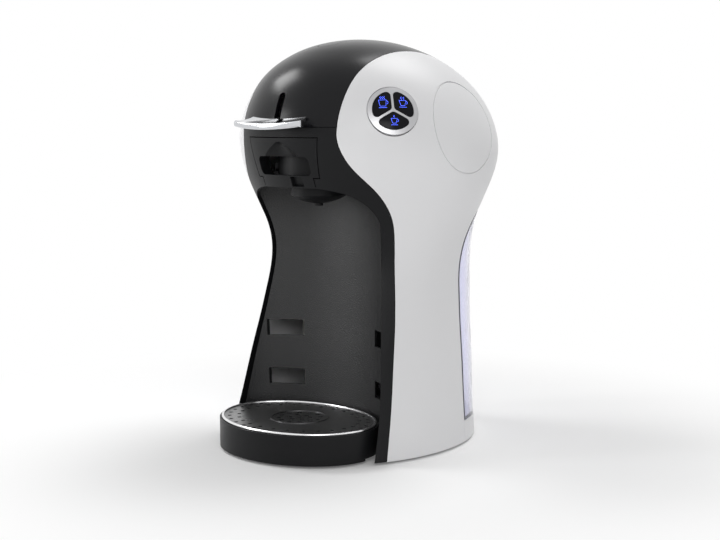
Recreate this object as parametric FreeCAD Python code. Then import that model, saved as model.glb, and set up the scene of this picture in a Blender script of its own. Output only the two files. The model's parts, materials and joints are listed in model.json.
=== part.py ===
import FreeCAD, Part
import math
import os

V = FreeCAD.Vector

# Driving dimensions of the machine, in millimetres
HEIGHT = 314.0
FOOT_HEIGHT = 2.0
WALL = 3.0
PARTING_GAP = 0.4
HEAD_RADIUS = 102.8
HEAD_MID_Z = 228.0
HEAD_MID_Y = 15.5
HEAD_LEAN = 8.5
HEAD_BULGE = 16.0
HEAD_RISE = HEIGHT - HEAD_MID_Z
SPOUT_Y = -41.5
SPOUT_RADIUS = 22.0
DOME_EDGE_Z = 246.5

# Oval stations of the body below the head: height, half width, middle, front and rear
BODY_STATIONS = [
    (-6.0, 91.7, -6.5, -118.5, 105.5),
    (20.0, 88.8, -3.0, -108.0, 105.2),
    (50.0, 85.6, 1.5, -96.5, 105.0),
    (85.0, 82.0, 6.0, -81.0, 104.6),
    (120.0, 79.0, 10.5, -66.5, 104.3),
    (145.0, 78.0, 13.5, -59.8, 104.3),
    (165.0, 80.5, 14.8, -61.0, 105.0),
    (185.0, 88.0, 15.3, -68.5, 107.5),
    (205.0, 97.6, 15.5, -76.5, 113.0),
    (228.0, 102.8, 15.5, -84.0, 118.3),
]
HEAD_ANGLES = [12, 25, 38, 50, 62, 73, 82]
OVAL_POINTS = 32

# Centre band: half width and height of its edge as seen from the front
BAND_EDGE = [(82.4, -10), (79.3, 20), (76.1, 50), (71.8, 85), (67.3, 120), (64.6, 147), (66.0, 167),
             (68.0, 182), (65.6, 200), (57.0, 215), (50.6, 230), (49.0, 246)]
BAND_TOP_HALF = 49.0

# Cup bay: edge of its mouth as seen from the front, and the hollow behind it
MOUTH_EDGE = [(78.0, -10), (75.5, 20), (72.1, 50), (66.6, 85), (61.3, 120), (58.6, 147), (59.6, 166),
              (60.9, 177), (59.4, 185), (53.0, 194), (42.0, 199.0), (28.0, 201.5)]
BAY_MID_Y = -63.3
BAY_FOOT_HALF = 78.6
BAY_ROOF_HALF = 66.0
BAY_FOOT_DEPTH = 50.7
BAY_ROOF_DEPTH = 52.5
BAY_ROOF_Z = 201.5
LINER_WALL = 2.0
HOOK_SLOT_HEIGHTS = (45.0, 85.0)
HOOK_SLOT_HEIGHT = 13.0
HOOK_SLOT_NEAR = 38.0
HOOK_SLOT_FAR = 63.0

# Drawer window as seen from the front
DRAWER_TOP_Z = 239.3
DRAWER_TOP_HALF = 35.9
DRAWER_STEP_Z = 208.8
DRAWER_STEP_HALF = 32.0
DRAWER_LIP_Z = 202.6
DRAWER_LIP_HALF = 27.0
DRAWER_DEPTH = 10.0
DRAWER_GAP = 0.7
POCKET_HALF = 26.0
POCKET_LOW_Z = 210.8
POCKET_HIGH_Z = 224.8
POCKET_CORNER = 4.0

# Capsule carrier
CUP_RADIUS = 27.0
APRON_RADIUS = 30.5
CUP_TOP_Z = 238.0
SEAT_TOP_RADIUS = 23.5
SEAT_LOW_RADIUS = 19.0
SEAT_DEPTH = 26.0
RUNNER_Z = 212.5
RUNNER_HALF = 30.2
RUNNER_THICK = 2.0

# Brew head and its lever
PISTON_RADIUS = 28.0
NECK_RADIUS = 24.5
PISTON_LOW_Z = 239.6
FLANGE_Z = 250.0
PISTON_TOP_Z = 252.5
BOSS_TOP_Z = 256.0
SPRING_WIRE = 0.55
SPRING_PITCH = 1.9
SPRING_TURNS = 2.0
SLEEVE_LOW_Z = 243.0
SLEEVE_TOP_Z = 249.8
NEEDLE_TIP_Z = 233.8
PIVOT_Y = -8.0
PIVOT_Z = 262.0
PIN_RADIUS = 3.0
HUB_RADIUS = 6.0
CHEEK_RADIUS = 7.0
CHEEK_NEAR = 5.6
CHEEK_FAR = 9.6
ARM_HALF = 2.5
SLOT_HALF = 3.2
SLOT_TOP_Z = 272.0
HANDLE_RADIUS = 117.5
HANDLE_ANGLE = 35.0
HANDLE_TILT = 25.0

# Drip tray
TRAY_HALF = 68.0
TRAY_FRONT = 55.0
TRAY_REAR = 49.8
TRAY_RIM_Z = 24.0
TRAY_FLOOR_Z = 3.8
TRAY_WALL = 2.0
GRID_HALF = 66.4
GRID_FRONT = 53.3
GRID_REAR = 48.2
GRID_TOP_Z = 24.8
GRID_THICK = 1.2

# Control ring on the right panel
RING_CENTRE = V(77.2, -43.9, 259.0)
RING_RADIUS = 18.8
RING_FIELD = 15.4
RING_SPHERE = 96.0
RING_PROUD = 0.5
BUTTON_PROUD = 0.9
WEB = 1.7
BUTTON_CORNER = 3.2

# Round line on each side of the head
CIRCLE_Y = 16.0
CIRCLE_Z = 246.0
CIRCLE_RADIUS = 34.5
CIRCLE_LINE = 0.9

# Water tank and its bay at the rear
TANK_BAY_Y = 35.5
TANK_ARC_Y = 110.5
TANK_ARC_Z = 124.0
TANK_ARC_RADIUS = TANK_ARC_Y - TANK_BAY_Y
SHELF_TOP_Z = 17.5
TANK_GAP = 2.5
TANK_WALL = 2.2
TANK_TOP_Z = 180.0
LID_FRONT_Y = 69.0
DOCK_X = 52.0
DOCK_Z = 48.0

# Pump and heater inside
PUMP_Y = 11.0
PUMP_Z = 48.0
PUMP_BARREL = 12.0
PUMP_MOUNT_PLACES = (-36, 17)
HEATER_LOW_Z = 206.0
HEATER_HIGH_Z = 240.0
HEATER_INLET_Z = 226.0
HEATER_OUTLET = V(18.0, 12.0, HEATER_HIGH_Z)
HOSE_BEND = 9.0

# Reach of the cutting blocks, past every side of the machine
FAR = 160.0


# Helpers

def box(x0, x1, y0, y1, z0, z1):
    return Part.makeBox(x1 - x0, y1 - y0, z1 - z0, V(x0, y0, z0))


def rod(radius, start, end):
    return Part.makeCylinder(radius, (end - start).Length, start, end - start)


def tube(outer, inner, start, end):
    return rod(outer, start, end).cut(rod(inner, start, end))


def spline(points):
    curve = Part.BSplineCurve()
    curve.interpolate(points)
    return curve.toShape()


def polygon_face(points):
    return Part.Face(Part.makePolygon(points + [points[0]]))


def mirrored(shape):
    return shape.mirror(V(0, 0, 0), V(1, 0, 0))


def group(shapes):
    return Part.makeCompound(shapes)


def largest(shape):
    return max(shape.Solids, key=lambda solid: solid.Volume)


# The body's outer form

def oval_wire(z, half_width, mid_y, front, rear):
    points = []
    for step in range(OVAL_POINTS):
        turn = 2 * math.pi * step / OVAL_POINTS
        reach = rear if math.cos(turn) > 0 else front
        points.append(V(half_width * math.sin(turn), mid_y + reach * math.cos(turn), z))
    curve = Part.BSplineCurve()
    curve.interpolate(Points=points, PeriodicFlag=True, Parameters=list(range(OVAL_POINTS + 1)))
    return Part.Wire([curve.toShape()])


def body(inset=0.0):
    wires = []
    for z, half_width, mid_y, front_y, rear_y in BODY_STATIONS:
        wires.append(oval_wire(z, half_width - inset, mid_y, mid_y - front_y - inset, rear_y - mid_y - inset))
    for angle in HEAD_ANGLES:
        rise = math.sin(math.radians(angle))
        reach = (HEAD_RADIUS - inset) * math.cos(math.radians(angle))
        z = HEAD_MID_Z + (HEAD_RISE - inset) * rise
        fuller = HEAD_BULGE * rise ** 2 * math.cos(math.radians(angle))
        wires.append(oval_wire(z, reach, HEAD_MID_Y - HEAD_LEAN * rise ** 2, reach + fuller, reach))
    crown = Part.Vertex(0, HEAD_MID_Y - HEAD_LEAN, HEIGHT - inset)
    solid = Part.makeLoft(wires + [crown], True, False)
    return solid.common(box(-FAR, FAR, -FAR, FAR, FOOT_HEIGHT, HEIGHT + 1))


def front_prism(edge, shift, y_from, y_to, top_z):
    """Region between an edge curve and its mirror image, seen from the front, run along Y."""
    right = [V(half + shift, y_from, z) for half, z in edge]
    left = [V(-p.x, p.y, p.z) for p in reversed(right)]
    top_right = V(right[-1].x, y_from, top_z)
    top_left = V(left[0].x, y_from, top_z)
    edges = [spline(right)]
    if top_z > right[-1].z:
        edges.append(Part.makeLine(right[-1], top_right))
    edges.append(Part.makeLine(top_right, top_left))
    if top_z > right[-1].z:
        edges.append(Part.makeLine(top_left, left[0]))
    edges.append(spline(left))
    edges.append(Part.makeLine(left[-1], right[0]))
    return Part.Face(Part.Wire(edges)).extrude(V(0, y_to - y_from, 0))


def band(shift):
    """Everything that belongs to the black centre band, front and rear."""
    front = front_prism(BAND_EDGE, shift, -FAR, 10, HEIGHT + 10)
    half = BAND_TOP_HALF + shift
    rear = box(-half, half, 10, FAR, TANK_ARC_Z + TANK_ARC_RADIUS - 5, HEIGHT + 10)
    return front.fuse(rear)


def bay_mouth():
    return front_prism(MOUTH_EDGE, 0.0, -FAR, -12, BAY_ROOF_Z)


def bay_section(z, half, depth):
    right = V(half, BAY_MID_Y, z)
    left = V(-half, BAY_MID_Y, z)
    front_right = V(half, -FAR, z)
    front_left = V(-half, -FAR, z)
    major, minor = max(half, depth), min(half, depth)
    ellipse = Part.Ellipse(V(0, BAY_MID_Y, z), major, minor)
    arc = Part.ArcOfEllipse(ellipse, 0, math.pi).toShape()
    return Part.Wire([arc, Part.makeLine(left, front_left), Part.makeLine(front_left, front_right),
                      Part.makeLine(front_right, right)])


def bay_hollow(grow):
    low = bay_section(0, BAY_FOOT_HALF + grow, BAY_FOOT_DEPTH + grow)
    high = bay_section(BAY_ROOF_Z, BAY_ROOF_HALF + grow, BAY_ROOF_DEPTH + grow)
    return Part.makeLoft([low, high], True, True)


def drawer_window(shrink):
    top, step, lip = DRAWER_TOP_HALF - shrink, DRAWER_STEP_HALF - shrink, DRAWER_LIP_HALF - shrink
    top_z, step_z, lip_z = DRAWER_TOP_Z - shrink, DRAWER_STEP_Z + shrink, DRAWER_LIP_Z
    outline = [(-lip, lip_z), (lip, lip_z), (lip, step_z), (step, step_z), (top, top_z),
               (-top, top_z), (-step, step_z), (-lip, step_z)]
    face = polygon_face([V(x, -FAR, z) for x, z in outline])
    return face.extrude(V(0, FAR - 20, 0))


def tank_bay(grow):
    """Side view of the tank's place under the head, run along X."""
    y = TANK_BAY_Y - grow
    radius = TANK_ARC_RADIUS + grow
    low = V(-FAR, y, -5)
    corner = V(-FAR, y, TANK_ARC_Z)
    crest = V(-FAR, TANK_ARC_Y, TANK_ARC_Z + radius)
    bend = radius * math.cos(math.radians(45))
    middle = V(-FAR, TANK_ARC_Y - bend, TANK_ARC_Z + bend)
    rear_high = V(-FAR, FAR, TANK_ARC_Z + radius)
    rear_low = V(-FAR, FAR, -5)
    edges = [Part.makeLine(low, corner), Part.Arc(corner, middle, crest).toShape()]
    edges.append(Part.makeLine(crest, rear_high))
    edges.append(Part.makeLine(rear_high, rear_low))
    edges.append(Part.makeLine(rear_low, low))
    return Part.Face(Part.Wire(edges)).extrude(V(2 * FAR, 0, 0))


OUTER = body()
INNER = body(WALL)
CORE = body(WALL + 0.4)
SHELL = OUTER.cut(INNER)


# Casing

def circle_groove():
    start, end = V(60, CIRCLE_Y, CIRCLE_Z), V(FAR, CIRCLE_Y, CIRCLE_Z)
    ring = tube(CIRCLE_RADIUS, CIRCLE_RADIUS - CIRCLE_LINE, start, end)
    return ring.cut(body(0.7))


def side_panel():
    panel = SHELL.cut(band(PARTING_GAP / 2)).cut(tank_bay(0)).common(box(0, FAR, -FAR, FAR, 0, HEIGHT))
    return panel.cut(circle_groove())


def ring_normal():
    centre = V(0, HEAD_MID_Y - 1.0, HEAD_MID_Z)
    from_mid = RING_CENTRE - centre
    slope = V(from_mid.x / HEAD_RADIUS ** 2, from_mid.y / HEAD_RADIUS ** 2, from_mid.z / HEAD_RISE ** 2)
    return slope.normalize()


def right_panel(panel):
    normal = ring_normal()
    hole = rod(RING_RADIUS + 0.3, RING_CENTRE - normal * 20, RING_CENTRE + normal * 20)
    return panel.cut(hole)


def front_frame():
    front = SHELL.common(band(-PARTING_GAP / 2))
    front = front.common(box(-FAR, FAR, -FAR, 10, 0, DOME_EDGE_Z - PARTING_GAP / 2))
    return front.cut(bay_mouth()).cut(drawer_window(0))


def top_strip_region(grow, depth):
    half = 8.0 + grow
    front = -30.0
    bar = box(-half, half, front, 70, HEIGHT - 40, HEIGHT + 5)
    nose = Part.makeCylinder(half, 45, V(0, front, HEIGHT - 40))
    return bar.fuse(nose).cut(body(depth))


def top_dome():
    dome = SHELL.common(band(-PARTING_GAP / 2))
    dome = dome.common(box(-FAR, FAR, -FAR, FAR, DOME_EDGE_Z + PARTING_GAP / 2, HEIGHT + 1))
    slot = box(-SLOT_HALF, SLOT_HALF, -FAR, -40, DOME_EDGE_Z - 5, SLOT_TOP_Z - SLOT_HALF)
    slot_end = rod(SLOT_HALF, V(0, -FAR, SLOT_TOP_Z - SLOT_HALF), V(0, -40, SLOT_TOP_Z - SLOT_HALF))
    return dome.cut(slot.fuse(slot_end)).cut(top_strip_region(0.3, 1.4))


def dome_top_strip():
    return OUTER.common(top_strip_region(0.0, 1.3))


def rear_cover():
    rear_low = TANK_ARC_Z + TANK_ARC_RADIUS + 0.2
    cover = SHELL.common(band(-PARTING_GAP / 2)).cut(tank_bay(0))
    cover = cover.common(box(-FAR, FAR, 10, FAR, rear_low, DOME_EDGE_Z - PARTING_GAP / 2))
    for row in range(5):
        z = 212 + row * 6
        cover = cover.cut(box(-24, 24, 60, FAR, z, z + 2.4))
    return cover


def cup_bay_liner():
    block = bay_hollow(LINER_WALL)
    roof = block.common(box(-FAR, FAR, -74, 0, BAY_ROOF_Z - LINER_WALL, BAY_ROOF_Z))
    liner = block.cut(bay_hollow(0)).fuse(roof)
    liner.translate(V(0, 0, LINER_WALL))
    liner = liner.common(CORE).common(box(-FAR, FAR, -FAR, FAR, FOOT_HEIGHT + 3.2, HEIGHT))
    liner = liner.cut(rod(SPOUT_RADIUS + 0.5, V(0, SPOUT_Y, 150), V(0, SPOUT_Y, 220)))
    lip_half = DRAWER_LIP_HALF + 1.2
    liner = liner.cut(box(-lip_half, lip_half, -FAR, -63, BAY_ROOF_Z - 1, DRAWER_STEP_Z))
    for z in HOOK_SLOT_HEIGHTS:
        low, high = z - HOOK_SLOT_HEIGHT / 2, z + HOOK_SLOT_HEIGHT / 2
        slot = box(HOOK_SLOT_NEAR, HOOK_SLOT_FAR, -45, -10, low, high)
        liner = liner.cut(slot).cut(mirrored(slot))
    return liner


def base_plate():
    plate = CORE.common(box(-FAR, FAR, -FAR, TANK_BAY_Y - WALL - 1, FOOT_HEIGHT, FOOT_HEIGHT + 3))
    plate = plate.cut(bay_hollow(LINER_WALL))
    tongue = box(-44, 44, -90, -8, FOOT_HEIGHT, FOOT_HEIGHT + 1.5)
    plate = plate.fuse(tongue)
    for x, y in screw_places():
        plate = plate.cut(rod(1.7, V(x, y, 0), V(x, y, 10)))
    return plate


def foot_places():
    return [(76.0, -33.0, 5.0), (-76.0, -33.0, 5.0), (58.0, 26.0, 6.0), (-58.0, 26.0, 6.0)]


def rear_foot_places():
    return [(45.0, 82.0, 7.0), (-45.0, 82.0, 7.0)]


def screw_places():
    return [(38.0, 22.0), (-38.0, 22.0), (12.0, 22.0), (-12.0, 22.0)]


def rubber_feet():
    feet = [rod(radius, V(x, y, 0), V(x, y, FOOT_HEIGHT)) for x, y, radius in foot_places()]
    feet += [rod(radius, V(x, y, 0), V(x, y, FOOT_HEIGHT)) for x, y, radius in rear_foot_places()]
    return group(feet)


def base_screws():
    screws = []
    for x, y in screw_places():
        head = rod(3.2, V(x, y, 0.8), V(x, y, FOOT_HEIGHT))
        screws.append(head.fuse(rod(1.5, V(x, y, FOOT_HEIGHT), V(x, y, 9))))
    return group(screws)


def tank_bay_wall():
    wall = tank_bay(WALL).cut(tank_bay(0.2)).common(CORE)
    wall = wall.common(box(-FAR, FAR, -FAR, FAR, FOOT_HEIGHT + 3.2, HEIGHT))
    flange = box(-50, 50, 14, TANK_BAY_Y - WALL, FOOT_HEIGHT + 3.2, FOOT_HEIGHT + 7)
    wall = wall.fuse(flange)
    for x, y in screw_places():
        wall = wall.cut(rod(1.55, V(x, y, 0), V(x, y, 12)))
    port = V(DOCK_X, 0, DOCK_Z)
    return wall.cut(rod(7.2, port, port + V(0, 60, 0)))


def tank_shelf():
    """Low base step that the tank stands on, closed round the rear."""
    block = OUTER.common(box(-FAR, FAR, TANK_BAY_Y + 0.3, FAR, FOOT_HEIGHT, SHELF_TOP_Z))
    hollow = INNER.common(box(-FAR, FAR, -FAR, FAR, FOOT_HEIGHT + WALL, SHELF_TOP_Z - WALL))
    shelf = block.cut(hollow)
    return shelf.cut(rod(5.6, V(0, 90, 9.6), V(0, FAR, 9.6)))


def cord_inlet():
    collar = tube(5.5, 3.2, V(0, 98.6, 9.6), V(0, 106.6, 9.6))
    flange = tube(7.0, 5.4, V(0, 99.0, 9.6), V(0, 101.0, 9.6))
    flange = flange.common(box(-10, 10, 90, 110, FOOT_HEIGHT + WALL + 0.2, SHELF_TOP_Z - WALL - 0.2))
    return collar.fuse(flange)


# Lever and brew head

def handle_outline():
    """Plan of the handle: narrow at the dome, wide and rounded at the lip."""
    right = [(23.5, -76.0), (34.6, -95.0), (31.0, -103.5)]
    left = [(-x, y) for x, y in reversed(right)]
    block = polygon_face([V(x, y, 240) for x, y in right + left]).extrude(V(0, 0, 20))
    upright = [edge for edge in block.Edges if edge.BoundBox.ZLength > 15]
    corners = [edge for edge in upright if abs(edge.Vertexes[0].X) > 34]
    return block.makeFillet(4.0, corners).Solids[0]


def lever_handle():
    """Hooked lip that follows the dome, open underneath for the fingers."""
    inner_top = (102.2, 252.6)
    top = [inner_top, (105.0, 251.2), (110.0, 249.8), (114.8, 249.4)]
    nose = [(114.8, 249.4), (HANDLE_RADIUS, 247.0), (114.8, 244.6)]
    under = [(114.8, 244.6), (111.0, 245.0), (111.2, 246.2), (114.0, 246.2)]
    inside = [(114.0, 246.2), (114.9, 247.0), (114.0, 247.8)]
    below = [(114.0, 247.8), (109.4, 248.2), (105.0, 249.4), (102.2, 250.4)]

    def place(pair):
        return V(0, HEAD_MID_Y - pair[0], pair[1])

    edges = [spline([place(p) for p in top])]
    edges.append(Part.Arc(*[place(p) for p in nose]).toShape())
    for start, end in zip(under, under[1:]):
        edges.append(Part.makeLine(place(start), place(end)))
    edges.append(Part.Arc(*[place(p) for p in inside]).toShape())
    edges.append(spline([place(p) for p in below]))
    edges.append(Part.makeLine(place(below[-1]), place(inner_top)))
    face = Part.Face(Part.Wire(edges))
    tilt = math.radians(HANDLE_TILT)
    inward = V(0, math.cos(tilt), math.sin(tilt))
    centre = place(nose[1]) + inward * HANDLE_RADIUS
    axis = V(0, -math.sin(tilt), math.cos(tilt))
    face.rotate(centre, axis, -HANDLE_ANGLE / 2)
    return face.revolve(centre, axis, HANDLE_ANGLE).common(handle_outline())


def lever_arm(handle):
    upper = [(PIVOT_Y + 4, PIVOT_Z + 5), (-44, 266.5), (-66, 260.5), (-80, 254.2), (-88, 252.2),
             (-97, 249.6)]
    lower = [(-97, 247.4), (-84, 247.6), (-75, 251.6), (-71, 253.3), (-60, 255.8), (-44, 256.6),
             (-36, 256.8), (-24, 259.2), (PIVOT_Y + 2, PIVOT_Z - 5)]
    face = polygon_face([V(-ARM_HALF, y, z) for y, z in upper + lower])
    arm = face.extrude(V(2 * ARM_HALF, 0, 0))
    hub = rod(HUB_RADIUS, V(-5, PIVOT_Y, PIVOT_Z), V(5, PIVOT_Y, PIVOT_Z))
    bore = rod(PIN_RADIUS + 0.05, V(-10, PIVOT_Y, PIVOT_Z), V(10, PIVOT_Y, PIVOT_Z))
    return largest(arm.fuse(hub).cut(bore).cut(handle))


def lever_pin():
    return rod(PIN_RADIUS, V(-11, PIVOT_Y, PIVOT_Z), V(11, PIVOT_Y, PIVOT_Z))


def brew_frame():
    """Sleeve that guides the brew head, with the two cheeks that hold the lever's pin."""
    low, high = V(0, SPOUT_Y, SLEEVE_LOW_Z), V(0, SPOUT_Y, SLEEVE_TOP_Z)
    sleeve = rod(PISTON_RADIUS + 3.5, low, high)
    sleeve = sleeve.cut(rod(PISTON_RADIUS + 0.3, V(0, SPOUT_Y, SLEEVE_LOW_Z + 1.6), high))
    sleeve = sleeve.cut(rod(NECK_RADIUS + 0.4, low, high))
    frame = sleeve
    for side in (-1, 1):
        x0, x1 = sorted((side * CHEEK_NEAR, side * CHEEK_FAR))
        cheek = rod(CHEEK_RADIUS, V(x0, PIVOT_Y, PIVOT_Z), V(x1, PIVOT_Y, PIVOT_Z))
        post = box(x0, x1, PIVOT_Y - 3.6, PIVOT_Y + 8, SLEEVE_LOW_Z, PIVOT_Z)
        web = box(x0, x1, SPOUT_Y + PISTON_RADIUS + 0.8, PIVOT_Y + 8, SLEEVE_LOW_Z, SLEEVE_TOP_Z)
        frame = frame.fuse(cheek.fuse(post).fuse(web))
        ear_x0, ear_x1 = sorted((side * (PISTON_RADIUS + 2), side * 45))
        frame = frame.fuse(box(ear_x0, ear_x1, SPOUT_Y - 8, SPOUT_Y + 8, SLEEVE_LOW_Z, SLEEVE_LOW_Z + 3))
    bore = rod(PIN_RADIUS + 0.02, V(-12, PIVOT_Y, PIVOT_Z), V(12, PIVOT_Y, PIVOT_Z))
    return frame.cut(bore)


def brew_head():
    low = V(0, SPOUT_Y, PISTON_LOW_Z)
    neck = rod(NECK_RADIUS, low, V(0, SPOUT_Y, FLANGE_Z))
    flange = rod(PISTON_RADIUS, V(0, SPOUT_Y, FLANGE_Z), V(0, SPOUT_Y, PISTON_TOP_Z))
    boss = rod(6.0, V(0, SPOUT_Y, PISTON_TOP_Z), V(0, SPOUT_Y, BOSS_TOP_Z))
    nipple = rod(2.6, V(18, SPOUT_Y + 9, PISTON_TOP_Z), V(18, SPOUT_Y + 9, BOSS_TOP_Z))
    head = neck.fuse(flange).fuse(boss).fuse(nipple)
    groove = tube(21.5, 17.5, low, low + V(0, 0, 2.0))
    socket = rod(2.0, low, low + V(0, 0, 8))
    return head.cut(groove).cut(socket)


def brew_seal():
    low = V(0, SPOUT_Y, PISTON_LOW_Z - 0.8)
    return tube(21.4, 17.6, low, low + V(0, 0, 2.7))


def piercing_needle():
    tip = Part.makeCone(0.3, 1.6, 4.0, V(0, SPOUT_Y, NEEDLE_TIP_Z))
    shank = rod(1.6, V(0, SPOUT_Y, NEEDLE_TIP_Z + 4), V(0, SPOUT_Y, PISTON_LOW_Z + 7.8))
    return tip.fuse(shank)


def return_spring():
    """Coil between the sleeve's ledge and the brew head's flange."""
    mid = (NECK_RADIUS + 0.4 + PISTON_RADIUS) / 2
    start_z = SLEEVE_LOW_Z + 1.6 + SPRING_WIRE + 0.1
    steps = int(SPRING_TURNS * 16)
    rings = []
    for step in range(steps + 1):
        turn = 2 * math.pi * SPRING_TURNS * step / steps
        rise = start_z + SPRING_PITCH * SPRING_TURNS * step / steps
        place = V(mid * math.cos(turn), SPOUT_Y + mid * math.sin(turn), rise)
        along = V(-mid * math.sin(turn), mid * math.cos(turn), SPRING_PITCH / (2 * math.pi))
        rings.append(Part.Wire([Part.makeCircle(SPRING_WIRE, place, along)]))
    return Part.makeLoft(rings, True, True)


# Capsule drawer

def drawer_front():
    plate = OUTER.cut(body(DRAWER_DEPTH)).common(drawer_window(DRAWER_GAP))
    plate = plate.common(box(-FAR, FAR, -FAR, -45, 0, HEIGHT))
    plate = plate.cut(box(-FAR, FAR, -64, -40, 0, BAY_ROOF_Z + LINER_WALL + 0.8))
    pocket = box(-POCKET_HALF, POCKET_HALF, -FAR, -45, POCKET_LOW_Z, POCKET_HIGH_Z)
    corners = [edge for edge in pocket.Edges if edge.BoundBox.YLength > 45]
    pocket = pocket.makeFillet(POCKET_CORNER, corners).Solids[0]
    scoop = Part.makeCone(0, 60, 25, V(1, -83.2, 235.4), V(0, -0.55, -0.83))
    scoop = scoop.common(box(-FAR, FAR, -FAR, -45, POCKET_HIGH_Z - 6, HEIGHT))
    notch = box(6, 17, -FAR, -60, DRAWER_LIP_Z - 1, POCKET_LOW_Z - 0.8)
    return plate.cut(pocket).cut(scoop).cut(notch.cut(body(3.0)))


def capsule_carrier(front):
    cup = rod(CUP_RADIUS, V(0, SPOUT_Y, DRAWER_STEP_Z + 0.6), V(0, SPOUT_Y, CUP_TOP_Z))
    floor = box(-24, 24, -84, SPOUT_Y + 26, DRAWER_LIP_Z + 1.8, DRAWER_STEP_Z + 0.6)
    outlet = rod(8.0, V(0, SPOUT_Y, DRAWER_LIP_Z + 1.8), V(0, SPOUT_Y, DRAWER_STEP_Z + 0.6))
    apron = rod(APRON_RADIUS, V(0, SPOUT_Y, DRAWER_STEP_Z + 0.6), V(0, SPOUT_Y, POCKET_HIGH_Z + 4))
    apron = apron.common(box(-FAR, FAR, -FAR, SPOUT_Y - 15.5, 0, HEIGHT))
    carrier = cup.fuse(floor).fuse(outlet).fuse(apron)
    for side in (-1, 1):
        x0, x1 = sorted((side * 20, side * RUNNER_HALF))
        runner = box(x0, x1, -58, SPOUT_Y + 28, RUNNER_Z, RUNNER_Z + RUNNER_THICK)
        carrier = carrier.fuse(runner)
    seat_low = CUP_TOP_Z - SEAT_DEPTH
    seat = Part.makeCone(SEAT_LOW_RADIUS, SEAT_TOP_RADIUS, SEAT_DEPTH, V(0, SPOUT_Y, seat_low))
    rim = rod(SEAT_TOP_RADIUS + 1.8, V(0, SPOUT_Y, CUP_TOP_Z - 1.5), V(0, SPOUT_Y, CUP_TOP_Z))
    drain = rod(4.0, V(0, SPOUT_Y, 195), V(0, SPOUT_Y, seat_low + 1))
    needle_path = box(-3.2, 3.2, SPOUT_Y, SPOUT_Y + 40, NEEDLE_TIP_Z - 1.5, CUP_TOP_Z + 1)
    return largest(carrier.cut(seat).cut(rim).cut(drain).cut(needle_path).cut(front))


def drawer_rails():
    rail = box(28.6, 33.6, -55, SPOUT_Y + 32, BAY_ROOF_Z + LINER_WALL + 0.2, RUNNER_Z + 6)
    groove = box(28, RUNNER_HALF + 0.5, -60, SPOUT_Y + 30, RUNNER_Z - 0.5, RUNNER_Z + RUNNER_THICK + 0.5)
    rail = rail.cut(groove)
    return group([rail, mirrored(rail)])


def spout_cup():
    """Funnel under the carrier's outlet, with a dished bottom and a short nozzle."""
    top_z, rim_z, dish_z = BAY_ROOF_Z + LINER_WALL - 0.3, 195.0, 188.4
    radius = SPOUT_RADIUS
    rise = rim_z - dish_z
    ball = (radius ** 2 + rise ** 2) / (2 * rise)
    centre = V(0, SPOUT_Y, dish_z + ball)
    outer = rod(radius, V(0, SPOUT_Y, rim_z), V(0, SPOUT_Y, top_z))
    dish = Part.makeSphere(ball, centre).common(rod(radius, V(0, SPOUT_Y, dish_z - 1), V(0, SPOUT_Y, rim_z)))
    nozzle = rod(3.4, V(0, SPOUT_Y, dish_z - 1.8), V(0, SPOUT_Y, dish_z + 3))
    hollow = rod(radius - 2, V(0, SPOUT_Y, dish_z), V(0, SPOUT_Y, top_z + 9))
    hollow = hollow.common(Part.makeSphere(ball - 2, centre))
    bore = rod(1.8, V(0, SPOUT_Y, dish_z - 5), V(0, SPOUT_Y, dish_z + 5))
    return outer.fuse(dish).fuse(nozzle).cut(hollow).cut(bore)


# Drip tray

def tray_oval(half, front, rear, z):
    def half_oval(reach, turn_from, turn_to):
        scale = FreeCAD.Matrix()
        scale.scale(half, reach, 1)
        arc = Part.Arc(Part.Circle(V(0, 0, 0), V(0, 0, 1), 1), turn_from, turn_to).toShape()
        moved = arc.transformGeometry(scale)
        moved.translate(V(0, BAY_MID_Y, z))
        return moved
    back = half_oval(rear, 0, math.pi)
    forth = half_oval(front, math.pi, 2 * math.pi)
    return Part.Wire([back, forth])


def tray_block(half, front, rear, z0, z1):
    return Part.Face(tray_oval(half, front, rear, z0)).extrude(V(0, 0, z1 - z0))


def drip_tray():
    tray = tray_block(TRAY_HALF, TRAY_FRONT, TRAY_REAR, TRAY_FLOOR_Z, TRAY_RIM_Z)
    well_half, well_front, well_rear = GRID_HALF - 3, GRID_FRONT - 3, GRID_REAR - 3
    tray = tray.cut(tray_block(well_half, well_front, well_rear, TRAY_FLOOR_Z + TRAY_WALL, TRAY_RIM_Z))
    ledge_z = GRID_TOP_Z - GRID_THICK - 0.2
    tray = tray.cut(tray_block(GRID_HALF + 0.5, GRID_FRONT + 0.5, GRID_REAR + 0.5, ledge_z, TRAY_RIM_Z))
    skirt = tray_block(TRAY_HALF, TRAY_FRONT, TRAY_REAR, FOOT_HEIGHT, TRAY_FLOOR_Z)
    skirt = skirt.cut(tray_block(TRAY_HALF - 4, TRAY_FRONT - 4, TRAY_REAR, FOOT_HEIGHT, TRAY_FLOOR_Z))
    skirt = skirt.common(box(-FAR, FAR, -FAR, BAY_MID_Y, 0, HEIGHT))
    return tray.fuse(skirt)


def grid_holes():
    """Places and radii of the drain holes: a centre cluster and two rows along the edge."""
    holes = [(0.0, 0.0, 2.0)]
    for ring, count in ((8.0, 6), (16.0, 12)):
        for step in range(count):
            turn = 2 * math.pi * (step + 0.5) / count
            holes.append((ring * math.cos(turn), ring * math.sin(turn), 2.0))
    for share, count in ((0.78, 26), (0.90, 30)):
        for step in range(count):
            turn = 2 * math.pi * (step + 0.5 * (count % 4 == 2)) / count
            reach = GRID_REAR if math.sin(turn) > 0 else GRID_FRONT
            holes.append((share * GRID_HALF * math.cos(turn), share * reach * math.sin(turn), 1.6))
    return holes


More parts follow.
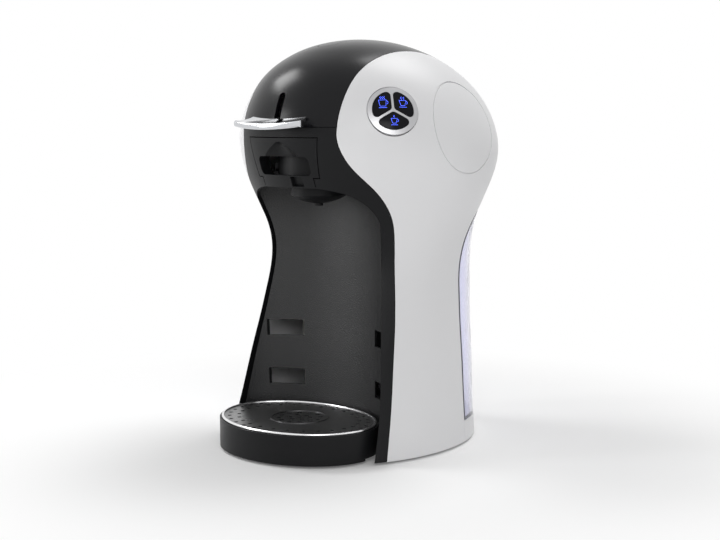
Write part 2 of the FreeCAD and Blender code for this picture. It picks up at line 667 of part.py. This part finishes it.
def drip_grid():
    z = GRID_TOP_Z - GRID_THICK
    wires = [tray_oval(GRID_HALF, GRID_FRONT, GRID_REAR, z)]
    for x, y, radius in grid_holes():
        wires.append(Part.Wire([Part.makeCircle(radius, V(x, BAY_MID_Y + y, z))]))
    face = Part.makeFace(wires, "Part::FaceMakerBullseye")
    plate = face.extrude(V(0, 0, GRID_THICK))
    centre = V(0, BAY_MID_Y, GRID_TOP_Z)
    return plate.fuse(tube(22.5, 21.0, centre, centre + V(0, 0, 0.5)))


# Controls

def ring_axes():
    normal = ring_normal()
    across = V(0, 0, 1).cross(normal).normalize()
    return normal, across, normal.cross(across)


def ring_placed(shape):
    """Moves a shape made on the XY plane on to the control ring's place."""
    normal, across, upward = ring_axes()
    frame = FreeCAD.Matrix(across.x, upward.x, normal.x, RING_CENTRE.x,
                           across.y, upward.y, normal.y, RING_CENTRE.y,
                           across.z, upward.z, normal.z, RING_CENTRE.z, 0, 0, 0, 1)
    placed = shape.copy()
    placed.Placement = FreeCAD.Placement(frame)
    return placed


def ring_layer(inner, outer):
    """Curved layer between two heights over the panel's surface, in the ring's own axes."""
    ball = Part.makeSphere(RING_SPHERE + outer, V(0, 0, -RING_SPHERE))
    return ball.cut(Part.makeSphere(RING_SPHERE + inner, V(0, 0, -RING_SPHERE)))


def button_fields(shrink):
    disc = Part.makeCylinder(RING_FIELD - shrink, 20, V(0, 0, -10))
    half = WEB / 2 + shrink
    for turn in (90, 210, 330):
        bar = box(0, 30, -half, half, -11, 11)
        bar.rotate(V(0, 0, 0), V(0, 0, 1), turn)
        disc = disc.cut(bar)
    fields = []
    for solid in disc.Solids:
        upright = [edge for edge in solid.Edges if abs(edge.Vertexes[0].Z - edge.Vertexes[-1].Z) > 15]
        fields.append(solid.makeFillet(BUTTON_CORNER - shrink, upright).Solids[0])
    return sorted(fields, key=lambda field: field.CenterOfMass.x)


def control_bezel():
    disc = Part.makeCylinder(RING_RADIUS, 20, V(0, 0, -10)).common(ring_layer(-3.0, RING_PROUD))
    for field in button_fields(0.0):
        disc = disc.cut(field)
    return ring_placed(disc)


def buttons():
    layer = ring_layer(-3.4, BUTTON_PROUD)
    return [ring_placed(field.common(layer)) for field in button_fields(0.3)]


def button_board():
    plate = Part.makeCylinder(RING_RADIUS - 3, 1.6, V(0, 0, -11))
    return ring_placed(plate)


def button_switches():
    switches = []
    for field in button_fields(0.3):
        middle = field.CenterOfMass
        body_box = box(middle.x - 3, middle.x + 3, middle.y - 3, middle.y + 3, -9.4, -7.2)
        stem = Part.makeCylinder(1.4, 1.2, V(middle.x, middle.y, -7.2))
        switches.append(ring_placed(body_box.fuse(stem)))
    return group(switches)


# Water tank

def tank_profile(inset, low_z):
    return tank_bay(-inset).common(box(-FAR, FAR, -FAR, FAR, low_z, HEIGHT))


def water_tank():
    outer = body(0.3).common(tank_profile(TANK_GAP, SHELF_TOP_Z + 0.3))
    outer = outer.common(box(-FAR, FAR, -FAR, FAR, 0, TANK_TOP_Z))
    inner = body(0.3 + TANK_WALL).common(tank_profile(TANK_GAP + TANK_WALL, SHELF_TOP_Z + 0.3 + TANK_WALL))
    tank = outer.cut(inner.common(box(-FAR, FAR, -FAR, FAR, 0, TANK_TOP_Z - TANK_WALL)))
    mouth = inner.common(box(-FAR, FAR, LID_FRONT_Y + 3, FAR, TANK_TOP_Z - 2 * TANK_WALL, HEIGHT))
    port = V(DOCK_X, TANK_BAY_Y, DOCK_Z)
    return tank.cut(mouth).cut(rod(5.1, port, port + V(0, 10, 0)))


def tank_lid():
    plate = body(0.8).common(box(-FAR, FAR, LID_FRONT_Y, FAR, TANK_TOP_Z + 0.1, TANK_TOP_Z + 3))
    top = TANK_TOP_Z + 0.1
    lip = body(0.3 + TANK_WALL + 0.5).common(box(-FAR, FAR, LID_FRONT_Y + 3.5, FAR, TANK_TOP_Z - 3, top))
    core = body(0.3 + TANK_WALL + 2.5).common(box(-FAR, FAR, LID_FRONT_Y + 5.5, FAR, TANK_TOP_Z - 4, top))
    return plate.fuse(lip.cut(core))


def tank_valve():
    start = V(DOCK_X, TANK_BAY_Y + 0.8, DOCK_Z)
    spigot = rod(5.0, start, V(DOCK_X, 46, DOCK_Z))
    flange = rod(8.0, V(DOCK_X, TANK_BAY_Y + TANK_GAP + TANK_WALL + 0.1, DOCK_Z), V(DOCK_X, 43, DOCK_Z))
    return spigot.fuse(flange).cut(rod(2.2, start, V(DOCK_X, 50, DOCK_Z)))


def tank_dock():
    sleeve = tube(7.0, 3.0, V(DOCK_X, 24, DOCK_Z), V(DOCK_X, TANK_BAY_Y - 1.2, DOCK_Z))
    return sleeve.fuse(tube(10.0, 6.9, V(DOCK_X, 28, DOCK_Z), V(DOCK_X, TANK_BAY_Y - WALL - 0.2, DOCK_Z)))


def dock_seal():
    return tube(6.5, 3.0, V(DOCK_X, TANK_BAY_Y - 1.2, DOCK_Z), V(DOCK_X, TANK_BAY_Y + 0.6, DOCK_Z))


# Water path inside

def pump():
    coil = box(-22, 12, PUMP_Y - 17, PUMP_Y + 17, PUMP_Z - 17, PUMP_Z + 17)
    barrel = rod(PUMP_BARREL, V(-44, PUMP_Y, PUMP_Z), V(24, PUMP_Y, PUMP_Z))
    inlet = rod(3.0, V(24, PUMP_Y, PUMP_Z), V(32, PUMP_Y, PUMP_Z))
    outlet = rod(4.0, V(-50, PUMP_Y, PUMP_Z), V(-44, PUMP_Y, PUMP_Z))
    return coil.fuse(barrel).fuse(inlet).fuse(outlet)


def pump_mounts():
    rings = []
    for x in PUMP_MOUNT_PLACES:
        rings.append(tube(15.9, PUMP_BARREL + 0.05, V(x, PUMP_Y, PUMP_Z), V(x + 5, PUMP_Y, PUMP_Z)))
    return group(rings)


def pump_bracket():
    plate = box(-42, 28, -6, 10, FOOT_HEIGHT + 3.2, FOOT_HEIGHT + 5.2)
    for x in PUMP_MOUNT_PLACES:
        upright = box(x + 0.8, x + 4.2, -6, 28, FOOT_HEIGHT + 7.2, PUMP_Z + 18)
        foot = box(x + 0.8, x + 4.2, -6, 10, FOOT_HEIGHT + 3.2, FOOT_HEIGHT + 8)
        upright = upright.fuse(foot).cut(rod(16.0, V(x - 5, PUMP_Y, PUMP_Z), V(x + 9, PUMP_Y, PUMP_Z)))
        plate = plate.fuse(upright)
    return plate


def flow_meter():
    can = rod(12.0, V(DOCK_X, 5, DOCK_Z), V(DOCK_X, 20, DOCK_Z))
    inlet = rod(2.9, V(DOCK_X, 20, DOCK_Z), V(DOCK_X, 30, DOCK_Z))
    outlet = rod(3.0, V(34, PUMP_Y, DOCK_Z), V(DOCK_X, PUMP_Y, DOCK_Z))
    return can.fuse(inlet).fuse(outlet)


def suction_hose():
    return tube(5.0, 3.05, V(27, PUMP_Y, PUMP_Z), V(39, PUMP_Y, PUMP_Z))


def bent_hose(points, bend, outer, inner):
    """Hose along straight runs joined by arcs of one bend radius."""
    edges = []
    start = points[0]
    for before, corner, after in zip(points, points[1:], points[2:]):
        into = (corner - before).normalize()
        out = (after - corner).normalize()
        first = corner - into * bend
        last = corner + out * bend
        centre = first + out * bend
        middle = centre + (corner - centre).normalize() * bend
        edges.append(Part.makeLine(start, first))
        edges.append(Part.Arc(first, middle, last).toShape())
        start = last
    edges.append(Part.makeLine(start, points[-1]))
    path = Part.Wire(edges)
    along = points[1] - points[0]
    rings = [Part.Wire([Part.makeCircle(radius, points[0], along)]) for radius in (outer, inner)]
    skins = [path.makePipeShell([ring], True, False) for ring in rings]
    return skins[0].cut(skins[1])


def pressure_hose():
    side, top = -62.0, HEATER_INLET_Z
    points = [V(-46, PUMP_Y, PUMP_Z), V(side, PUMP_Y, PUMP_Z), V(side, PUMP_Y, top), V(-40, PUMP_Y, top)]
    return bent_hose(points, HOSE_BEND, 5.5, 4.1)


def brew_hose():
    x, heater_y = HEATER_OUTLET.x, HEATER_OUTLET.y
    nipple_y, crest = SPOUT_Y + 9, 275.0
    points = [V(x, heater_y, HEATER_HIGH_Z + 2.2), V(x, heater_y, crest)]
    points += [V(x, nipple_y, crest), V(x, nipple_y, PISTON_TOP_Z + 0.4)]
    return bent_hose(points, HOSE_BEND, 4.2, 2.8)


def thermoblock():
    block = box(-32, 32, 1, 42, HEATER_LOW_Z, HEATER_HIGH_Z)
    upright = [edge for edge in block.Edges if abs(edge.tangentAt(edge.FirstParameter).z) > 0.9]
    block = block.makeFillet(4.0, upright)
    inlet = rod(4.0, V(-44, PUMP_Y, HEATER_INLET_Z), V(-32, PUMP_Y, HEATER_INLET_Z))
    outlet = rod(2.7, HEATER_OUTLET, HEATER_OUTLET + V(0, 0, 6))
    return block.fuse(inlet).fuse(outlet)


def heater_bracket():
    return box(-40, 40, 4, 38, HEATER_LOW_Z - 2.2, HEATER_LOW_Z - 0.2)


def thermostats():
    cans = []
    for x in (-18, 0):
        can = rod(7.0, V(x, 30, HEATER_HIGH_Z), V(x, 30, HEATER_HIGH_Z + 5))
        cans.append(can.fuse(box(x - 1.5, x + 1.5, 24, 36, HEATER_HIGH_Z + 5, HEATER_HIGH_Z + 9)))
    return group(cans)


def control_board():
    plate = box(-4, 56, 27.6, 29.2, 85, 160)
    relay = box(2, 20, 18, 27.6, 95, 110)
    capacitor = box(28, 46, 20, 27.6, 120, 134)
    heat_sink = box(4, 16, 19, 27.6, 135, 152)
    return plate.fuse(relay).fuse(capacitor).fuse(heat_sink)


# Assembly

def build():
    panel = side_panel()
    handle = lever_handle()
    front = drawer_front()
    tall, small, wide = buttons()
    return {
        "base_plate": base_plate(),
        "rubber_feet": rubber_feet(),
        "base_screws": base_screws(),
        "right_side_panel": right_panel(panel),
        "left_side_panel": mirrored(panel),
        "front_frame": front_frame(),
        "cup_bay_liner": cup_bay_liner(),
        "top_dome": top_dome(),
        "dome_top_strip": dome_top_strip(),
        "rear_cover": rear_cover(),
        "tank_bay_wall": tank_bay_wall(),
        "tank_shelf": tank_shelf(),
        "cord_inlet": cord_inlet(),
        "lever_handle": handle,
        "lever_arm": lever_arm(handle),
        "lever_pin": lever_pin(),
        "brew_frame": brew_frame(),
        "brew_head": brew_head(),
        "brew_seal": brew_seal(),
        "piercing_needle": piercing_needle(),
        "return_spring": return_spring(),
        "drawer_front": front,
        "capsule_carrier": capsule_carrier(front),
        "drawer_rails": drawer_rails(),
        "spout_cup": spout_cup(),
        "drip_tray": drip_tray(),
        "drip_grid": drip_grid(),
        "control_bezel": control_bezel(),
        "button_tall_cup": tall,
        "button_small_cup": small,
        "button_wide_cup": wide,
        "button_board": button_board(),
        "button_switches": button_switches(),
        "water_tank": water_tank(),
        "tank_lid": tank_lid(),
        "tank_valve": tank_valve(),
        "tank_dock": tank_dock(),
        "dock_seal": dock_seal(),
        "pump": pump(),
        "pump_mounts": pump_mounts(),
        "pump_bracket": pump_bracket(),
        "flow_meter": flow_meter(),
        "suction_hose": suction_hose(),
        "pressure_hose": pressure_hose(),
        "brew_hose": brew_hose(),
        "thermoblock": thermoblock(),
        "heater_bracket": heater_bracket(),
        "thermostats": thermostats(),
        "control_board": control_board(),
    }


os.makedirs("parts", exist_ok=True)
for name, shape in build().items():
    shape.exportStep("parts/" + name + ".step")
    size = shape.BoundBox
    print(name, len(shape.Solids), shape.isValid(), round(shape.Volume / 1000, 2),
          [round(v, 1) for v in (size.XMin, size.XMax, size.YMin, size.YMax, size.ZMin, size.ZMax)])
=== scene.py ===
import json
import math

import bmesh
import bpy
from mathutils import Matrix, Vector


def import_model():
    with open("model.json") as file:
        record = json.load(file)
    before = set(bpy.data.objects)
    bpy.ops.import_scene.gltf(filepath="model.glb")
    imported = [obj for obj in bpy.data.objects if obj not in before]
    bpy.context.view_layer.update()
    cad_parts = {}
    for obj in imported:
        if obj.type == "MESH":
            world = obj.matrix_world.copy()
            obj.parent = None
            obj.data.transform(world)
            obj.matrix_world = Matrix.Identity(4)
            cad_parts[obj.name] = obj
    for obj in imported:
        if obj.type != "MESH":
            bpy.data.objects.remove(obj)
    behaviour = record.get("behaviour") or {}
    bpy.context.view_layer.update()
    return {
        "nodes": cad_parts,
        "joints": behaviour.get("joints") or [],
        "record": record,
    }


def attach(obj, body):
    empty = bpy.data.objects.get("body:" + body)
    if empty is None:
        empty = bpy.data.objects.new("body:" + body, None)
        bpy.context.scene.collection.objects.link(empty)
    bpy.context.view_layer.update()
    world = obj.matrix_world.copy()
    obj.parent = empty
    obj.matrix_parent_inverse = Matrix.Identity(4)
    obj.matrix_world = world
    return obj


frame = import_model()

NODES = frame["nodes"]
JOINTS = {joint["name"]: joint for joint in frame["joints"]}

# Camera, from the photograph: angles in degrees, lengths in metres
IMAGE_WIDTH = 720
FOCAL_PIXELS = 1316.9
SENSOR = 36.0
CAMERA_AZIMUTH = 44.0
CAMERA_YAW = -1.8
CAMERA_PITCH = 6.6
CAMERA_DISTANCE = 1.0098
CAMERA_HEIGHT = 0.2535
SPOUT_Y = -0.0415

# Floor and fill light
FLOOR_REACH = 6.0
SHADOW_REACH = 0.2
FADE_REACH = 0.42
FLOOR_GLOW = 0.1
WORLD_FILL = 0.28

# Places on the object, in metres
RING_CENTRE = Vector((0.0772, -0.0439, 0.2590))
RING_SPHERE = 0.096
SIGN_LIFT = 0.00105
SIGN_WIRE = 0.00018
SIGN_PLACES = {
    "tall_cup_button": (-0.0074, 0.0052),
    "wide_cup_button": (0.0074, 0.0052),
    "small_cup_button": (0.0, -0.0088),
}
GRID_MID_Y = -0.0633
RIM_HALF = 0.0655
RIM_FRONT = 0.0525
RIM_REAR = 0.0474
RIM_TOP = 0.0248
RIM_WIRE = 0.0011
RIM_STEPS = 120

# Mesh finish of the CAD nodes
WELD_REACH = 2e-6
SMOOTH_ANGLE = math.radians(28)

# Area lamps: place, aim, width, height in metres and power in watts
LAMPS = {
    "key_right": ((1.3, -1.2, 0.95), (0, 0, 0.2), 1.0, 1.0, 11),
    "dome_left": ((-0.95, -0.3, 1.1), (0, -0.07, 0.27), 0.42, 0.42, 5.5),
    "bay_front": ((-0.7, -0.85, 0.42), (0, -0.02, 0.16), 0.2, 0.6, 3),
    "top_rear": ((0.05, 0.75, 1.7), (0, 0, 0.17), 0.8, 0.8, 13),
}


# Materials

def new_material(name):
    material = bpy.data.materials.new(name)
    material.use_nodes = True
    nodes = material.node_tree.nodes
    shader = next(node for node in nodes if node.type == "BSDF_PRINCIPLED")
    return material, nodes, material.node_tree.links, shader


def noise(nodes, links, scale, detail=4.0, stretch=(1, 1, 1)):
    place = nodes.new("ShaderNodeTexCoord")
    mapping = nodes.new("ShaderNodeMapping")
    mapping.inputs["Scale"].default_value = stretch
    links.new(place.outputs["Object"], mapping.inputs["Vector"])
    texture = nodes.new("ShaderNodeTexNoise")
    texture.inputs["Scale"].default_value = scale
    texture.inputs["Detail"].default_value = detail
    links.new(mapping.outputs["Vector"], texture.inputs["Vector"])
    return texture


def ramp(nodes, links, source, low, high):
    spread = nodes.new("ShaderNodeMapRange")
    spread.inputs["From Min"].default_value = 0.3
    spread.inputs["From Max"].default_value = 0.7
    spread.inputs["To Min"].default_value = low
    spread.inputs["To Max"].default_value = high
    links.new(source, spread.inputs["Value"])
    return spread.outputs["Result"]


def surface(name, color, rough, rough_spread=0.03, grain=900.0, bump=0.02, bump_depth=0.0002, tint=0.06,
            metallic=0.0, specular=0.5, coat=0.0, stretch=(1, 1, 1)):
    """Moulded or metal surface: fine grain in the bump, broad drift in colour and roughness."""
    material, nodes, links, shader = new_material(name)
    shader.inputs["Metallic"].default_value = metallic
    shader.inputs["Specular IOR Level"].default_value = specular
    shader.inputs["Coat Weight"].default_value = coat
    shader.inputs["Coat Roughness"].default_value = 0.04
    drift = noise(nodes, links, 18.0, 3.0)
    links.new(ramp(nodes, links, drift.outputs["Fac"], rough - rough_spread, rough + rough_spread),
              shader.inputs["Roughness"])
    mix = nodes.new("ShaderNodeMix")
    mix.data_type = "RGBA"
    mix.inputs["A"].default_value = (*[c * (1 - tint) for c in color], 1)
    mix.inputs["B"].default_value = (*[min(1.0, c * (1 + tint)) for c in color], 1)
    links.new(drift.outputs["Fac"], mix.inputs["Factor"])
    links.new(mix.outputs["Result"], shader.inputs["Base Color"])
    fine = noise(nodes, links, grain, 2.0, stretch)
    relief = nodes.new("ShaderNodeBump")
    relief.inputs["Strength"].default_value = bump
    relief.inputs["Distance"].default_value = bump_depth
    links.new(fine.outputs["Fac"], relief.inputs["Height"])
    links.new(relief.outputs["Normal"], shader.inputs["Normal"])
    return material


def clear_plastic(name, color):
    material = surface(name, color, 0.06, 0.02, 60.0, 0.02, 0.0005, 0.01)
    shader = next(node for node in material.node_tree.nodes if node.type == "BSDF_PRINCIPLED")
    shader.inputs["Transmission Weight"].default_value = 0.92
    shader.inputs["IOR"].default_value = 1.3
    return material


def lit_sign(name, color, strength):
    material = surface(name, color, 0.4)
    shader = next(node for node in material.node_tree.nodes if node.type == "BSDF_PRINCIPLED")
    shader.inputs["Emission Color"].default_value = (*color, 1)
    shader.inputs["Emission Strength"].default_value = strength
    return material


MATERIALS = {
    "gloss_black": surface("gloss_black", (0.004, 0.004, 0.005), 0.25, 0.02, 40.0, 0.01, 0.0005,
                           specular=0.2),
    "satin_black": surface("satin_black", (0.007, 0.0072, 0.008), 0.42, 0.05, 1500.0, 0.3, 0.0003,
                           specular=0.16),
    "bay_black": surface("bay_black", (0.009, 0.0092, 0.01), 0.4, 0.04, 1300.0, 0.7, 0.0005, specular=0.5),
    "satin_white": surface("satin_white", (0.79, 0.79, 0.80), 0.38, 0.04, 1200.0, 0.03, 0.0002, 0.01,
                           specular=0.25),
    "chrome": surface("chrome", (0.60, 0.61, 0.63), 0.11, 0.02, 300.0, 0.01, 0.0002, 0.02, metallic=1.0),
    "silver": surface("silver", (0.42, 0.42, 0.43), 0.34, 0.05, 700.0, 0.08, 0.0001, 0.04, metallic=1.0),
    "button_black": surface("button_black", (0.003, 0.003, 0.005), 0.14, 0.02, 60.0, 0.01, 0.0003,
                            specular=0.12),
    "steel_plate": surface("steel_plate", (0.15, 0.15, 0.153), 0.32, 0.06, 160.0, 0.25, 0.0003, 0.08,
                           metallic=1.0, stretch=(1, 14, 1)),
    "rubber": surface("rubber", (0.02, 0.02, 0.02), 0.8, 0.05, 700.0, 0.3),
    "inner_plastic": surface("inner_plastic", (0.16, 0.16, 0.17), 0.5, 0.05, 800.0, 0.2),
    "steel": surface("steel", (0.5, 0.5, 0.51), 0.3, 0.05, 300.0, 0.1, metallic=1.0),
    "heater_metal": surface("heater_metal", (0.55, 0.55, 0.55), 0.5, 0.08, 240.0, 0.4, metallic=1.0),
    "board": surface("board", (0.03, 0.17, 0.07), 0.4, 0.05, 400.0, 0.1),
    "hose": surface("hose", (0.7, 0.7, 0.66), 0.45, 0.05, 300.0, 0.1),
    "tank_clear": clear_plastic("tank_clear", (0.86, 0.86, 0.98)),
    "rim_steel": surface("rim_steel", (0.78, 0.78, 0.79), 0.2, 0.04, 300.0, 0.05, metallic=1.0),
    "sign_blue": lit_sign("sign_blue", (0.07, 0.13, 1.0), 1.3),
}
BAY_NODES = ("cup_bay_liner",)


def dress_nodes():
    """Gives every CAD node its slot's finish and shades its round faces smoothly."""
    slots = {entry["node"]: entry["material_slot"] for entry in frame["record"]["subparts"]}
    for name, node in NODES.items():
        finish = "bay_black" if name in BAY_NODES else slots[name]
        node.data.materials.clear()
        node.data.materials.append(MATERIALS[finish])
        node.data.shade_smooth()
        weld = node.modifiers.new("weld", "WELD")
        weld.merge_threshold = WELD_REACH
        split = node.modifiers.new("edges", "EDGE_SPLIT")
        split.split_angle = SMOOTH_ANGLE


# Pieces added to the CAD model

def add_object(name, data, material, body):
    piece = bpy.data.objects.new(name, data)
    bpy.context.scene.collection.objects.link(piece)
    data.materials.append(material)
    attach(piece, body)
    return piece


def tube_along(name, lines, radius):
    """Round wires along lines of points; a line is (points, closed)."""
    curve = bpy.data.curves.new(name, "CURVE")
    curve.dimensions = "3D"
    curve.bevel_depth = radius
    curve.bevel_resolution = 3
    curve.use_fill_caps = True
    for points, closed in lines:
        path = curve.splines.new("POLY")
        path.points.add(len(points) - 1)
        for point, place in zip(path.points, points):
            point.co = (*place, 1)
        path.use_cyclic_u = closed
        path.use_smooth = True
    holder = bpy.data.objects.new(name + "_path", curve)
    mesh = bpy.data.meshes.new_from_object(holder)
    bpy.data.objects.remove(holder)
    bpy.data.curves.remove(curve)
    mesh.name = name
    return mesh


def grid_rim():
    """Bright rolled edge of the drip plate."""
    points = []
    for step in range(RIM_STEPS):
        turn = 2 * math.pi * step / RIM_STEPS
        reach = RIM_REAR if math.sin(turn) > 0 else RIM_FRONT
        points.append((RIM_HALF * math.cos(turn), GRID_MID_Y + reach * math.sin(turn), RIM_TOP))
    mesh = tube_along("grid_rim", [(points, True)], RIM_WIRE)
    add_object("grid_rim", mesh, MATERIALS["rim_steel"], "grid")


def ring_axes():
    normal = -Vector(JOINTS["tall_cup_press"]["axis"]).normalized()
    across = Vector((0, 0, 1)).cross(normal).normalized()
    return normal, across, normal.cross(across)


def on_ring(x, y):
    """Point over the buttons' curved faces, from the ring's own right and up."""
    normal, across, upward = ring_axes()
    drop = RING_SPHERE - math.sqrt(RING_SPHERE ** 2 - x * x - y * y)
    return RING_CENTRE + across * x + upward * y + normal * (SIGN_LIFT - drop)


def arc(cx, cy, radius, start, end, steps=10):
    turns = [math.radians(start + (end - start) * step / steps) for step in range(steps + 1)]
    return [(cx + radius * math.cos(turn), cy + radius * math.sin(turn)) for turn in turns]


def steam(cx, cy, height):
    return [(cx + 0.0004 * math.sin(step * 1.3), cy + height * step / 6) for step in range(7)]


def cup_lines(half_top, half_foot, height, wisps, steam_height):
    """Generic cup sign: bowl, ear, saucer line and wisps of steam."""
    top, low = height / 2, -height / 2
    bowl = [(-half_top, top), (-half_foot, low), (half_foot, low), (half_top, top), (-half_top, top)]
    ear = arc(half_top * 0.93, height * 0.08, height * 0.27, 80, -80)
    saucer = [(-half_top * 1.05, low - 0.0012), (half_top * 1.05, low - 0.0012)]
    return [bowl, ear, saucer] + [steam(x, top + 0.0008, steam_height) for x in wisps]


SIGNS = {
    "tall_cup_button": cup_lines(0.0028, 0.0021, 0.0050, (-0.0014, 0.0, 0.0014), 0.0020),
    "wide_cup_button": cup_lines(0.0026, 0.0014, 0.0042, (-0.0009, 0.0009), 0.0020),
    "small_cup_button": cup_lines(0.0023, 0.0012, 0.0036, (0.0,), 0.0016),
}


def button_signs():
    for body, lines in SIGNS.items():
        mid_x, mid_y = SIGN_PLACES[body]
        placed = [([on_ring(mid_x + x, mid_y + y) for x, y in line], False) for line in lines]
        name = body.replace("button", "sign")
        add_object(name, tube_along(name, placed, SIGN_WIRE), MATERIALS["sign_blue"], body)


# Stage, light and camera

def seen_rays(nodes, links):
    """1 for what the camera sees, straight, in gloss or through clear plastic."""
    rays = nodes.new("ShaderNodeLightPath")
    total = rays.outputs["Is Camera Ray"]
    for kind in ("Is Glossy Ray", "Is Transmission Ray"):
        larger = nodes.new("ShaderNodeMath")
        larger.operation = "MAXIMUM"
        links.new(total, larger.inputs[0])
        links.new(rays.outputs[kind], larger.inputs[1])
        total = larger.outputs["Value"]
    return total


def floor():
    """Pale floor that fades to plain white away from the object and keeps its shadow."""
    mesh = bpy.data.meshes.new("floor")
    shape = bmesh.new()
    bmesh.ops.create_grid(shape, x_segments=2, y_segments=2, size=FLOOR_REACH)
    shape.to_mesh(mesh)
    shape.free()
    plane = bpy.data.objects.new("floor", mesh)
    bpy.context.scene.collection.objects.link(plane)
    material, nodes, links, shader = new_material("floor_white")
    shader.inputs["Base Color"].default_value = (0.95, 0.95, 0.95, 1)
    shader.inputs["Roughness"].default_value = 0.9
    shader.inputs["Specular IOR Level"].default_value = 0.1
    glow = nodes.new("ShaderNodeEmission")
    place = nodes.new("ShaderNodeTexCoord")
    far = nodes.new("ShaderNodeVectorMath")
    far.operation = "LENGTH"
    links.new(place.outputs["Object"], far.inputs[0])
    fade = nodes.new("ShaderNodeMapRange")
    fade.interpolation_type = "SMOOTHSTEP"
    fade.inputs["From Min"].default_value = SHADOW_REACH
    fade.inputs["From Max"].default_value = FADE_REACH
    fade.inputs["To Min"].default_value = FLOOR_GLOW
    links.new(far.outputs["Value"], fade.inputs["Value"])
    share = nodes.new("ShaderNodeMath")
    share.operation = "MULTIPLY"
    links.new(fade.outputs["Result"], share.inputs[0])
    links.new(seen_rays(nodes, links), share.inputs[1])
    mix = nodes.new("ShaderNodeMixShader")
    links.new(share.outputs["Value"], mix.inputs["Fac"])
    links.new(shader.outputs["BSDF"], mix.inputs[1])
    links.new(glow.outputs["Emission"], mix.inputs[2])
    output = next(node for node in nodes if node.type == "OUTPUT_MATERIAL")
    links.new(mix.outputs["Shader"], output.inputs["Surface"])
    mesh.materials.append(material)


def world():
    """White behind the object and in its reflections, a soft grey fill for the rest."""
    sky = bpy.data.worlds.new("studio")
    bpy.context.scene.world = sky
    sky.use_nodes = True
    nodes, links = sky.node_tree.nodes, sky.node_tree.links
    back = next(node for node in nodes if node.type == "BACKGROUND")
    back.inputs["Color"].default_value = (1, 1, 1, 1)
    strength = nodes.new("ShaderNodeMapRange")
    strength.inputs["To Min"].default_value = WORLD_FILL
    strength.inputs["To Max"].default_value = 1.0
    links.new(seen_rays(nodes, links), strength.inputs["Value"])
    links.new(strength.outputs["Result"], back.inputs["Strength"])


def softbox(name, place, target, width, height, power):
    light = bpy.data.lights.new(name, "AREA")
    light.shape = "RECTANGLE"
    light.size = width
    light.size_y = height
    light.energy = power
    lamp = bpy.data.objects.new(name, light)
    bpy.context.scene.collection.objects.link(lamp)
    lamp.location = place
    lamp.rotation_euler = (Vector(target) - Vector(place)).to_track_quat("-Z", "Y").to_euler()


def lights():
    for name, lamp in LAMPS.items():
        softbox(name, *lamp)


def camera():
    azimuth = math.radians(CAMERA_AZIMUTH)
    heading = azimuth + math.radians(CAMERA_YAW)
    pitch = math.radians(CAMERA_PITCH)
    data = bpy.data.cameras.new("photo_view")
    data.sensor_fit = "HORIZONTAL"
    data.sensor_width = SENSOR
    data.lens = SENSOR * FOCAL_PIXELS / IMAGE_WIDTH
    data.clip_end = 50
    viewer = bpy.data.objects.new("photo_view", data)
    bpy.context.scene.collection.objects.link(viewer)
    side = math.sin(azimuth) * CAMERA_DISTANCE
    back = math.cos(azimuth) * CAMERA_DISTANCE
    viewer.location = (side, SPOUT_Y - back, CAMERA_HEIGHT)
    level = math.cos(pitch)
    forward = Vector((-math.sin(heading) * level, math.cos(heading) * level, -math.sin(pitch)))
    viewer.rotation_euler = forward.to_track_quat("-Z", "Y").to_euler()
    bpy.context.scene.camera = viewer


dress_nodes()
grid_rim()
button_signs()
floor()
world()
lights()
camera()
bpy.context.scene.view_settings.view_transform = "Standard"
